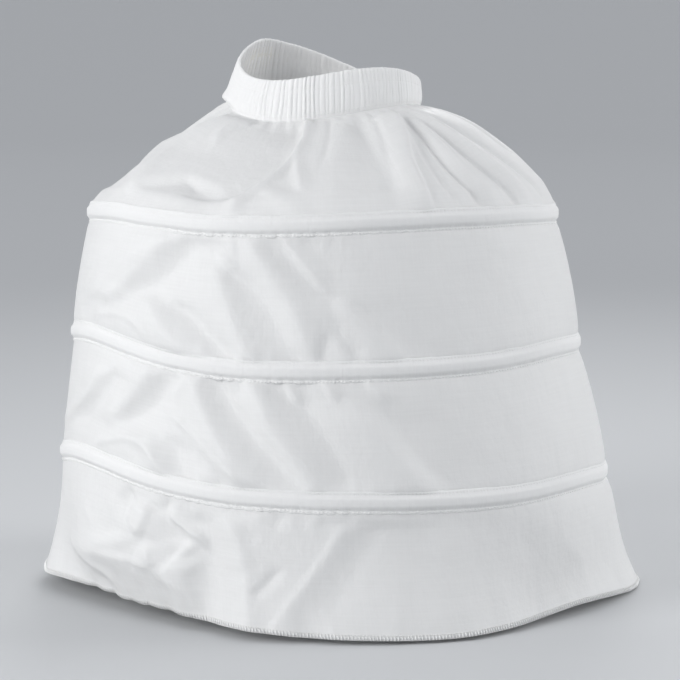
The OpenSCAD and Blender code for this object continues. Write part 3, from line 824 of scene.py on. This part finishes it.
def casing(name, i, above, below, seed):
    a = A
    m = front_left(a)
    g = random(seed)
    drawn = np.zeros(NU)  # places where the lower row of stitches draws the tape in
    x = 0.0
    while x < RADIUS[i] * TAU - 5:
        d = np.angle(np.exp(1j * (a - x / RADIUS[i]))) * RADIUS[i]
        drawn += g.uniform(0.6, 1.1) * np.exp(-((d / 1.7) ** 2))
        x += g.uniform(8.5, 14)
    ends = smooth(13, 8.5, np.abs(np.degrees(np.angle(np.exp(1j * (a - JOINT))))))  # over the joiner
    tube = 1 + 0.05 * wave_noise(a, seed + 1, 9, 46, 16) * (1 - ends)
    ease_up = ((above.p[-5] - above.p0[-5]) * above.n[-5]).sum(-1)
    ease_low = ((below.p[3] - below.p0[3]) * below.n[3]).sum(-1)
    ease_edge = ((below.p[4] - below.p0[4]) * below.n[4]).sum(-1)
    outer, inner = [], []
    for p, h in TAPE:
        low = smooth(-6.2, -9.0, h)
        pinch = np.exp(-(((h + 7.3) / 1.3) ** 2))
        top = smooth(6.8, 9.0, h)
        face = smooth(1.2, 3.0, p)
        # small slanting wrinkles of the tape over the hoop
        wr = 0.2 * wave_noise(a + 0.004 * h, seed + 2, 70, 200, 26) + 0.14 * wave_noise(a - 0.006 * h, seed + 4, 110, 240, 20)
        pp = p * np.where(p > 1.2, tube, 1.0) + wr * face * (0.5 + 0.6 * m) - pinch * 1.7 * m * drawn + 1.3 * ends * smooth(-7.2, -4.6, h) * smooth(7.2, 4.8, h)
        if -11.2 < h < 9.9:  # the two ends turn down into the seams
            ease = np.maximum(ease_edge, -1.0) if h < -10 else np.maximum(ease_low, -0.2)
            pp = pp + low * (0.5 * m * (0.5 - drawn) + ease) + top * np.maximum(ease_up, -0.2)
        elif h < 0:
            pp = pp - 0.5 + np.minimum(ease_edge, 0)
        hh = h + low * 1.2 * m * (drawn - 0.3) + 0.3 * wave_noise(a, seed + 3, 5, 26) * (1.0 if h < 0 else 0.5)
        hh = hh + top * (0.25 * wave_noise(a, seed + 5, 60, 160, 16) + 0.5 * wave_noise(a, seed + 6, 14, 60, 14))
        low_lim = -0.9 if h > 9 else -3.0 if h < -10.6 else 0.15 if h < -6 else 0.45  # both edges dip into the seams
        outer.append(ring(i, a, np.maximum(pp, low_lim), hh))
        inner.append(ring(i, a, np.maximum(pp - 0.5, low_lim - 0.37), hh * 0.985))
    p = np.array(outer + inner[::-3])
    arc = np.concatenate([[0], np.cumsum(np.linalg.norm(np.diff(TAPE, axis=0), axis=1))])
    v = np.concatenate([arc, arc[::-3] + 30])
    uv = np.stack(np.broadcast_arrays(((a - TAU / 4) % TAU * RADIUS[i])[None] * MM, v[:, None] * MM), -1).reshape(-1, 2)
    o = mesh_object(name + "_tape", p.reshape(-1, 3), grid_faces(NU, len(p), wrap_v=True), uv, TAU * RADIUS[i] * MM)
    return piece(o, name + "_casing_tape"), np.array(outer)


tapes, tape_faces = {}, {}
LEVELS = ((UPPER, "upper", yoke, tier1), (MIDDLE, "middle", tier1, tier2), (LOWER, "lower", tier2, flounce))
for i, name, above, below in LEVELS:
    tapes[name], tape_faces[name] = casing(name, i, above, below, 100 + 10 * i)


# ------------------------------------------------------------------ waistband
NW = 960
aw = np.linspace(0, TAU, NW, endpoint=False)


def gathers(seed, lo, hi):
    """Shirring: where each rib starts, how high it is, and the length it fills."""
    g = random(seed)
    x, cuts = 0.0, []
    total = 545.0
    while x < total - hi * 0.6:
        cuts.append(x)
        x += g.uniform(lo, hi)
    cuts = np.array(cuts + [total])
    return cuts, g.uniform(0.3, 1.0, len(cuts)), total


def gather_height(a, made, drift):
    """0 in a valley and up to 1 on a rounded rib."""
    cuts, hgt, total = made
    x = (a / TAU * total + drift) % total
    k = np.clip(np.searchsorted(cuts, x, side="right") - 1, 0, len(cuts) - 2)
    f = (x - cuts[k]) / (cuts[k + 1] - cuts[k])
    return hgt[k] * (1 - np.abs(2 * f - 1) ** 3.2)


outer_made, inner_made = gathers(51, 2.8, 5.8), gathers(52, 3.4, 6.8)


def band_face(s, out):
    drift = 0.5 * np.sin(4 * s + 3 * np.sin(4 * aw)) + 0.55 * wave_noise(aw + 0.2 * s, 53, 8, 30) - 7.4 * s * np.sin(aw)
    hgt = gather_height(aw, outer_made if out else inner_made, drift)
    pinch = 1 - 0.5 * (np.exp(-(((s - 0.68) / 0.03) ** 2)) + np.exp(-(((s - 0.07) / 0.045) ** 2)))
    strong = 0.5 + 0.5 * bell(aw, 254, 30) + 0.25 * bell(aw, 80, 60) - 0.25 * bell(aw, 200, 22)
    return hgt * pinch * (strong if out else 0.8)


def bulge(s):
    """The band is a little fuller half way up, with a lump of spare cloth low on the left."""
    return 1.6 * np.sin(math.pi * np.clip(s, 0, 1)) + 6.5 * bell(aw, 186, 9) * np.exp(-(((s - 0.2) / 0.11) ** 2))


def rim_lift(s):
    """The slack band stands up in a blunt point at the back left."""
    return 3.5 * bell(aw, 139, 16) * np.clip(s, 0, 1) ** 1.5


RIB_OUT, RIB_IN = 1.9, 1.1


def band_outside(s):
    foot = 0.12 + 0.88 * float(smooth(-0.07, 0.1, s))
    return band(aw, s, foot * (1.1 + RIB_OUT * band_face(s, True)) + 0.6 * bulge(s), rim_lift(s))


rows = [band_outside(s) for s in np.linspace(-0.06, 0.94, 26)]
for t in np.linspace(0, math.pi, 8):  # over the rim
    w = 0.5 * (1 + math.cos(t))
    lift = math.sin(t)
    po = 1.1 + RIB_OUT * band_face(0.96, True)
    pi = -(1.1 + RIB_IN * band_face(0.96, False))
    crest = 0.5 * band_face(0.98, True) + 0.5 * band_face(0.98, False)
    rows.append(band(aw, 0.965 + 0.03 * lift, po * w + pi * (1 - w), 1.1 * lift * crest + rim_lift(0.965)))
for s in np.linspace(0.94, 0.0, 12):
    rows.append(band(aw, s, -(1.1 + RIB_IN * band_face(s, False)) + 0.3 * bulge(s), rim_lift(s)))
for s, p in ((0.0, -0.75), (0.92, -0.7), (0.92, 0.7), (0.0, 0.75)):
    rows.append(band(aw, s, p + np.zeros(NW), rim_lift(s)))
rows = np.array(rows)
uv = np.stack(np.broadcast_arrays(((aw / TAU - 0.25) % 1 * 0.9)[None], np.linspace(0, 0.11, len(rows))[:, None]), -1).reshape(-1, 2)
# rows run up the outside here, so the faces are turned
waist = mesh_object("waistband_cloth", rows.reshape(-1, 3), grid_faces(NW, len(rows), wrap_v=True)[:, ::-1], uv, 0.9)
piece(waist, "waistband")


# ------------------------------------------------------------------ stitches
def stitch_mesh(name, items, sides=4):
    """Many short threads in one mesh: each item is (points, radius), and all have the same number of points."""
    pts = np.array([q for q, _ in items], float)
    rad = np.array([r for _, r in items], float)
    n = pts.shape[1]
    tan = np.gradient(pts, axis=1)
    tan /= np.maximum(np.linalg.norm(tan, axis=-1, keepdims=True), 1e-9)
    ref = np.where(np.abs(tan[:, :1, 2:]) < 0.8, np.array([0.0, 0.0, 1.0]), np.array([1.0, 0.0, 0.0]))
    u = np.cross(tan, np.broadcast_to(ref, tan.shape))
    u /= np.maximum(np.linalg.norm(u, axis=-1, keepdims=True), 1e-9)
    w = np.cross(tan, u)
    ang = np.arange(sides) / sides * TAU
    thin = np.ones(n)
    thin[0] = thin[-1] = 0.4
    rr = (rad[:, None] * thin)[:, :, None, None]
    v = pts[:, :, None] + rr * (np.cos(ang)[:, None] * u[:, :, None] + np.sin(ang)[:, None] * w[:, :, None])
    one = []
    for k in range(n - 1):
        for s in range(sides):
            s1 = (s + 1) % sides
            one.append((k * sides + s, k * sides + s1, (k + 1) * sides + s1, (k + 1) * sides + s))
    if sides == 4:
        one += [(3, 2, 1, 0), tuple((n - 1) * 4 + s for s in range(4))]
    faces = (np.array(one)[None] + (np.arange(len(items)) * n * sides)[:, None, None]).reshape(-1, 4)
    return mesh_object(name, v.reshape(-1, 3), faces)


def row_on(face, seed, length=3.0, gap=0.6, r=0.24, lift=0.16, sink=0.3):
    """Stitches along a closed row of points, each a shallow arch with its ends in the cloth."""
    g = random(seed)
    cum = np.concatenate([[0], np.cumsum(np.linalg.norm(np.roll(face, -1, 0) - face, axis=1))])
    loop = np.vstack([face, face[:1]])
    centre = face.mean(0)
    n = int(cum[-1] / (length + gap))
    pitch = cum[-1] / n
    out = []
    for k in range(n):
        s = (np.array([0, 0.3, 0.7, 1]) * (pitch - gap) + k * pitch + g.normal(0, 0.08)) % cum[-1]
        pts = np.stack([np.interp(s, cum, loop[:, c]) for c in range(3)], 1)
        rad = pts - centre
        rad[:, 2] = 0
        rad /= np.maximum(np.linalg.norm(rad, axis=1, keepdims=True), 1e-9)
        out.append((pts + rad * np.array([-sink, lift, lift, -sink])[:, None], r))
    return out


def tape_row(name, h):
    return tape_faces[name][int(np.argmin(abs(TAPE[:, 1] - h)))]


for i, name, above, below in LEVELS:
    items = row_on(tape_row(name, 7.7), 200 + i) + row_on(tape_row(name, -8.7), 210 + i, r=0.42, lift=0.42)
    piece(stitch_mesh(name + "_casing_stitches", items), name + "_casing_stitching")

items = []
for s, seed in ((0.07, 221), (0.68, 222)):
    items += row_on(band_outside(s), seed, length=2.4, r=0.22)
piece(stitch_mesh("waistband_stitches", items), "waistband_stitching")

# ------------------------------------------------------------------ overlocked hem
hem, up = flounce.p[-1], flounce.p[-3]
nhem = grid_normals(flounce.p)[-1]
cum = np.concatenate([[0], np.cumsum(np.linalg.norm(np.roll(hem, -1, 0) - hem, axis=1))])


def along(arr, s):
    loop = np.vstack([arr, arr[:1]])
    return np.stack([np.interp(s % cum[-1], cum, loop[:, c]) for c in range(3)], -1)


def unit(v):
    return v / np.maximum(np.linalg.norm(v, axis=-1, keepdims=True), 1e-9)


g = random(301)
items = []
n = int(cum[-1] / 3.2)
pitch = cum[-1] / n
for k in range(n):  # a loop of thread over the edge, outside and in
    s = np.array([k * pitch, (k + 0.6) * pitch]) + g.normal(0, 0.15)
    (e, f), (w, _), (nn, _) = along(hem, s), unit(along(up, s) - along(hem, s)), unit(along(nhem, s))
    tall = 4.0 + g.normal(0, 0.2)
    items.append((np.array([
        e + w * tall + nn * 0.1, e + w * (tall * 0.5) + nn * 0.6, e + w * 0.3 + nn * 0.65, e - w * 0.6 - nn * 0.2,
        f + w * 0.4 - nn * 0.95, f + w * tall * 0.9 - nn * 0.75]), 0.55))
piece(stitch_mesh("hem_overlock_thread", items), "hem_overlock")
items = []
for tall, off in ((4.0, 0.35), (-0.4, -0.2)):  # the needle thread, and the chain along the very edge
    for s0 in np.arange(0, cum[-1] - 2, 3.0):
        q = s0 + np.array([0, 1.0, 2.0, 2.9])
        e = along(hem, q)
        w, nn = unit(along(up, q) - e), unit(along(nhem, q))
        items.append((e + w * tall + nn * (off + np.array([-0.12, 0.14, 0.14, -0.12])[:, None]), 0.36))
chain = stitch_mesh("hem_chain_thread", items)
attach(chain, "root")

# ------------------------------------------------------------------ seam allowance inside the back
verts, faces = [], []
for T, lo, hi in ((yoke, 4, -6), (tier1, 6, -6), (tier2, 6, -6), (flounce, 6, -3)):
    c = NU // 4
    n = grid_normals(T.p)
    rows_in = np.arange(T.nv)[lo:hi]
    width = np.array([-4, -3, -2, -1, 0, 1, 2, 3, 4])
    base = len(verts)
    for j in rows_in:
        for k in width:
            f = k * 0.42  # columns are wider apart than the turned edge needs
            i0 = int(math.floor(c + f))
            w = c + f - i0
            q = T.p[j, i0] * (1 - w) + T.p[j, i0 + 1] * w
            nn = n[j, i0] * (1 - w) + n[j, i0 + 1] * w
            off = 0.75 + 0.35 * (abs(k) == 4) + 0.5 * (k == 0) + 0.18 * math.sin(0.9 * j + (2 if k > 0 else 0)) * (abs(k) / 4)
            verts.append(q - nn * off)
    faces.append(grid_faces(len(width), len(rows_in), wrap_u=False) + base)
seam = mesh_object("back_seam_allowance", np.array(verts), np.vstack(faces), np.array([(0.001 * k, 0.002 * (k // 9)) for k in range(len(verts))]))
solid_sheet(seam, 0.35)
piece(seam, "back_seam_tape")


# ------------------------------------------------------------------ materials
def cloth_material(name, colour, rough, weave_mm, weave_depth, through, streak, sheen, shine, crinkle):
    """Plain weave: threads as bump over faint crinkles, slubs and streaks in colour and roughness, some light let through."""
    m = bpy.data.materials.new(name)
    m.use_nodes = True
    t = m.node_tree
    t.nodes.clear()
    N = t.nodes.new
    L = t.links.new
    out = N("ShaderNodeOutputMaterial")
    bsdf = N("ShaderNodeBsdfPrincipled")
    bsdf.inputs["Sheen Weight"].default_value = sheen
    bsdf.inputs["Sheen Roughness"].default_value = 0.4
    bsdf.inputs["Specular IOR Level"].default_value = shine
    uv = N("ShaderNodeUVMap")
    uv.uv_map = "cloth"
    # threads
    scale = 1000.0 / weave_mm
    wx = N("ShaderNodeTexWave")
    wx.wave_type, wx.bands_direction = "BANDS", "X"
    wx.inputs["Scale"].default_value = scale / 20 * 3.14159
    wy = N("ShaderNodeTexWave")
    wy.wave_type, wy.bands_direction = "BANDS", "Y"
    wy.inputs["Scale"].default_value = scale / 20 * 3.14159
    L(uv.outputs["UV"], wx.inputs["Vector"])
    L(uv.outputs["UV"], wy.inputs["Vector"])
    mx = N("ShaderNodeMath")
    mx.operation = "MAXIMUM"
    L(wx.outputs["Fac"], mx.inputs[0])
    L(wy.outputs["Fac"], mx.inputs[1])
    # slubs: noise drawn out along the weft and the warp
    slubs = []
    for sx, sy in ((16, 520), (700, 14)):
        mp = N("ShaderNodeMapping")
        mp.inputs["Scale"].default_value = (sx, sy, 1)
        L(uv.outputs["UV"], mp.inputs["Vector"])
        slub = N("ShaderNodeTexNoise")
        slub.inputs["Scale"].default_value = 1.0
        slub.inputs["Detail"].default_value = 4
        L(mp.outputs["Vector"], slub.inputs["Vector"])
        slubs.append(slub)
    slub = N("ShaderNodeMath")
    slub.operation = "MULTIPLY_ADD"
    L(slubs[0].outputs["Fac"], slub.inputs[0])
    slub.inputs[1].default_value = 0.55
    part = N("ShaderNodeMath")
    part.operation = "MULTIPLY"
    L(slubs[1].outputs["Fac"], part.inputs[0])
    part.inputs[1].default_value = 0.45
    L(part.outputs[0], slub.inputs[2])
    cloud = N("ShaderNodeTexNoise")
    cloud.inputs["Scale"].default_value = 14
    cloud.inputs["Detail"].default_value = 5
    L(uv.outputs["UV"], cloud.inputs["Vector"])
    ramp = N("ShaderNodeMix")
    ramp.data_type = "RGBA"
    ramp.inputs[6].default_value = (*[c * (1 - streak) for c in colour], 1)
    ramp.inputs[7].default_value = (*colour, 1)
    both = N("ShaderNodeMath")
    both.operation = "MULTIPLY_ADD"
    L(slub.outputs[0], both.inputs[0])
    both.inputs[1].default_value = 0.8
    half = N("ShaderNodeMath")
    half.operation = "MULTIPLY"
    L(cloud.outputs["Fac"], half.inputs[0])
    half.inputs[1].default_value = 0.5
    L(half.outputs[0], both.inputs[2])
    L(both.outputs[0], ramp.inputs[0])
    L(ramp.outputs[2], bsdf.inputs["Base Color"])
    rr = N("ShaderNodeMapRange")
    rr.inputs["To Min"].default_value = rough - 0.08
    rr.inputs["To Max"].default_value = rough + 0.08
    L(slub.outputs[0], rr.inputs["Value"])
    L(rr.outputs["Result"], bsdf.inputs["Roughness"])
    high = N("ShaderNodeMath")
    high.operation = "MULTIPLY_ADD"
    L(slub.outputs[0], high.inputs[0])
    high.inputs[1].default_value = 2.2
    L(mx.outputs[0], high.inputs[2])
    pull_up = N("ShaderNodeMapping")
    pull_up.inputs["Scale"].default_value = crinkle[:2] + (1,)
    L(uv.outputs["UV"], pull_up.inputs["Vector"])
    crumple = N("ShaderNodeTexNoise")
    crumple.inputs["Scale"].default_value = 1.0
    crumple.inputs["Detail"].default_value = 5
    crumple.inputs["Roughness"].default_value = 0.6
    L(pull_up.outputs["Vector"], crumple.inputs["Vector"])
    under = N("ShaderNodeBump")
    under.inputs["Strength"].default_value = 0.5
    under.inputs["Distance"].default_value = crinkle[2] * MM
    L(crumple.outputs["Fac"], under.inputs["Height"])
    bump = N("ShaderNodeBump")
    bump.inputs["Strength"].default_value = 0.5
    L(under.outputs["Normal"], bump.inputs["Normal"])
    bump.inputs["Distance"].default_value = weave_depth * MM
    L(high.outputs[0], bump.inputs["Height"])
    L(bump.outputs["Normal"], bsdf.inputs["Normal"])
    tr = N("ShaderNodeBsdfTranslucent")
    L(ramp.outputs[2], tr.inputs["Color"])
    L(bump.outputs["Normal"], tr.inputs["Normal"])
    ms = N("ShaderNodeMixShader")
    ms.inputs[0].default_value = through
    L(bsdf.outputs["BSDF"], ms.inputs[1])
    L(tr.outputs["BSDF"], ms.inputs[2])
    L(ms.outputs["Shader"], out.inputs["Surface"])
    return m


def thread_material(name, colour, rough):
    m = bpy.data.materials.new(name)
    m.use_nodes = True
    t = m.node_tree
    N, L = t.nodes.new, t.links.new
    bsdf = t.nodes["Principled BSDF"]
    tc = N("ShaderNodeTexCoord")
    w = N("ShaderNodeTexNoise")
    w.inputs["Scale"].default_value = 900
    w.inputs["Detail"].default_value = 3
    L(tc.outputs["Object"], w.inputs["Vector"])
    mixc = N("ShaderNodeMix")
    mixc.data_type = "RGBA"
    mixc.inputs[6].default_value = (*[c * 0.9 for c in colour], 1)
    mixc.inputs[7].default_value = (*colour, 1)
    L(w.outputs["Fac"], mixc.inputs[0])
    L(mixc.outputs[2], bsdf.inputs["Base Color"])
    bsdf.inputs["Roughness"].default_value = rough
    bsdf.inputs["Sheen Weight"].default_value = 0.2
    b = N("ShaderNodeBump")
    b.inputs["Strength"].default_value = 0.4
    b.inputs["Distance"].default_value = 0.0001
    L(w.outputs["Fac"], b.inputs["Height"])
    L(b.outputs["Normal"], bsdf.inputs["Normal"])
    return m


CLOTH = cloth_material("skirt_cloth", (0.91, 0.91, 0.905), 0.54, 0.42, 0.085, 0.22, 0.13, 0.08, 0.3, (60, 40, 2.6))
TAPE_M = cloth_material("casing_tape", (0.9, 0.9, 0.895), 0.7, 0.6, 0.1, 0.15, 0.10, 0.05, 0.3, (320, 40, 1.2))
BAND_M = cloth_material("waistband_cloth", (0.945, 0.945, 0.94), 0.6, 0.42, 0.08, 0.17, 0.08, 0.08, 0.3, (400, 60, 1.0))
THREAD = thread_material("thread", (0.9, 0.9, 0.89), 0.55)
ELASTIC = thread_material("elastic", (0.85, 0.84, 0.8), 0.7)
BONING = thread_material("boning_coat", (0.84, 0.85, 0.86), 0.35)
JOINER = thread_material("joiner_plastic", (0.8, 0.82, 0.84), 0.3)

for o in panels.values():
    o.data.materials.append(CLOTH)
for o in tapes.values():
    o.data.materials.append(TAPE_M)
waist.data.materials.append(BAND_M)
seam.data.materials.append(TAPE_M)
for o in bpy.data.objects:
    if o.type == "MESH" and (o.name.endswith("_stitches") or o.name.endswith("_thread")):
        o.data.materials.append(THREAD)
for n, o in frame["nodes"].items():
    look = BONING if n.endswith("_hoop") else JOINER if n.endswith("_joiner") else ELASTIC if n == "waist_elastic" else THREAD
    o.data.materials.clear()
    o.data.materials.append(look)

# ------------------------------------------------------------------ stage and light
floor_z = float(flounce.p[-1][:, 2].min()) - 1.4
prof = [(600, 0), (1500, 0), (4000, 0), (10000, 0)]
prof += [(10000 + 4000 * math.sin(t), 2600 * (1 - math.cos(t))) for t in np.linspace(0.15, math.pi / 2, 10)]
af = np.linspace(0, TAU, 96, endpoint=False)
fp = np.array([np.stack([r * np.cos(af), r * np.sin(af), np.full(96, z + floor_z)], 1) for r, z in prof])
floor = mesh_object("floor", fp.reshape(-1, 3), grid_faces(96, len(fp))[:, ::-1])
fl = bpy.data.meshes.new("floor_middle")
fl.from_pydata([tuple(v * MM) for v in fp[0]], [], [tuple(range(96))])
middle = bpy.data.objects.new("floor_middle", fl)
bpy.context.scene.collection.objects.link(middle)
fm = bpy.data.materials.new("floor")
fm.use_nodes = True
# a little paler far off, where the lights don't reach, so that the ground looks even
where = fm.node_tree.nodes.new("ShaderNodeNewGeometry")
far = fm.node_tree.nodes.new("ShaderNodeVectorMath")
far.operation = "LENGTH"
fm.node_tree.links.new(where.outputs["Position"], far.inputs[0])
span = fm.node_tree.nodes.new("ShaderNodeMapRange")
span.interpolation_type = "SMOOTHSTEP"
span.inputs["From Min"].default_value = 0.6
span.inputs["From Max"].default_value = 5.0
fm.node_tree.links.new(far.outputs["Value"], span.inputs["Value"])
shade = fm.node_tree.nodes.new("ShaderNodeMix")
shade.data_type = "RGBA"
shade.inputs[6].default_value = (0.55, 0.56, 0.57, 1)
shade.inputs[7].default_value = (0.62, 0.63, 0.64, 1)
fm.node_tree.links.new(span.outputs["Result"], shade.inputs[0])
fm.node_tree.links.new(shade.outputs[2], fm.node_tree.nodes["Principled BSDF"].inputs["Base Color"])
fm.node_tree.nodes["Principled BSDF"].inputs["Roughness"].default_value = 0.9
floor.data.materials.append(fm)
middle.data.materials.append(fm)


def area_light(name, at, to, size, power, spread=180):
    d = bpy.data.lights.new(name, "AREA")
    d.shape = "RECTANGLE"
    d.size, d.size_y = size
    d.energy = power
    d.spread = math.radians(spread)
    o = bpy.data.objects.new(name, d)
    o.location = at
    o.rotation_euler = (Vector(to) - Vector(at)).to_track_quat("-Z", "Y").to_euler()
    bpy.context.scene.collection.objects.link(o)


area_light("key", (-2.6, -2.2, 0.9), (0, 0, -0.28), (1.8, 1.8), 23, 100)
area_light("left", (-3.2, 0.3, 0.7), (0, 0, -0.28), (1.4, 1.4), 3.4, 100)
area_light("right", (3.2, 0.35, 0.8), (0, 0, -0.28), (2.0, 2.0), 18, 100)
area_light("back", (0.3, 4.4, 1.4), (0, 0, -0.28), (1.8, 1.6), 3.5, 40)
world = bpy.data.worlds.new("world")
bpy.context.scene.world = world
world.use_nodes = True
world.node_tree.nodes["Background"].inputs["Color"].default_value = (0.94, 0.96, 1.0, 1)
# an even sky that is dimmer straight above
sky = world.node_tree
at = sky.nodes.new("ShaderNodeTexCoord")
split = sky.nodes.new("ShaderNodeSeparateXYZ")
sky.links.new(at.outputs["Generated"], split.inputs[0])
fall = sky.nodes.new("ShaderNodeMapRange")
fall.inputs["From Min"].default_value = 0.15
fall.inputs["From Max"].default_value = 0.9
fall.inputs["To Min"].default_value = 0.77
fall.inputs["To Max"].default_value = 0.6
sky.links.new(split.outputs["Z"], fall.inputs["Value"])
sky.links.new(fall.outputs["Result"], sky.nodes["Background"].inputs["Strength"])
bpy.context.scene.view_settings.view_transform = "Standard"

bpy.context.view_layer.update()
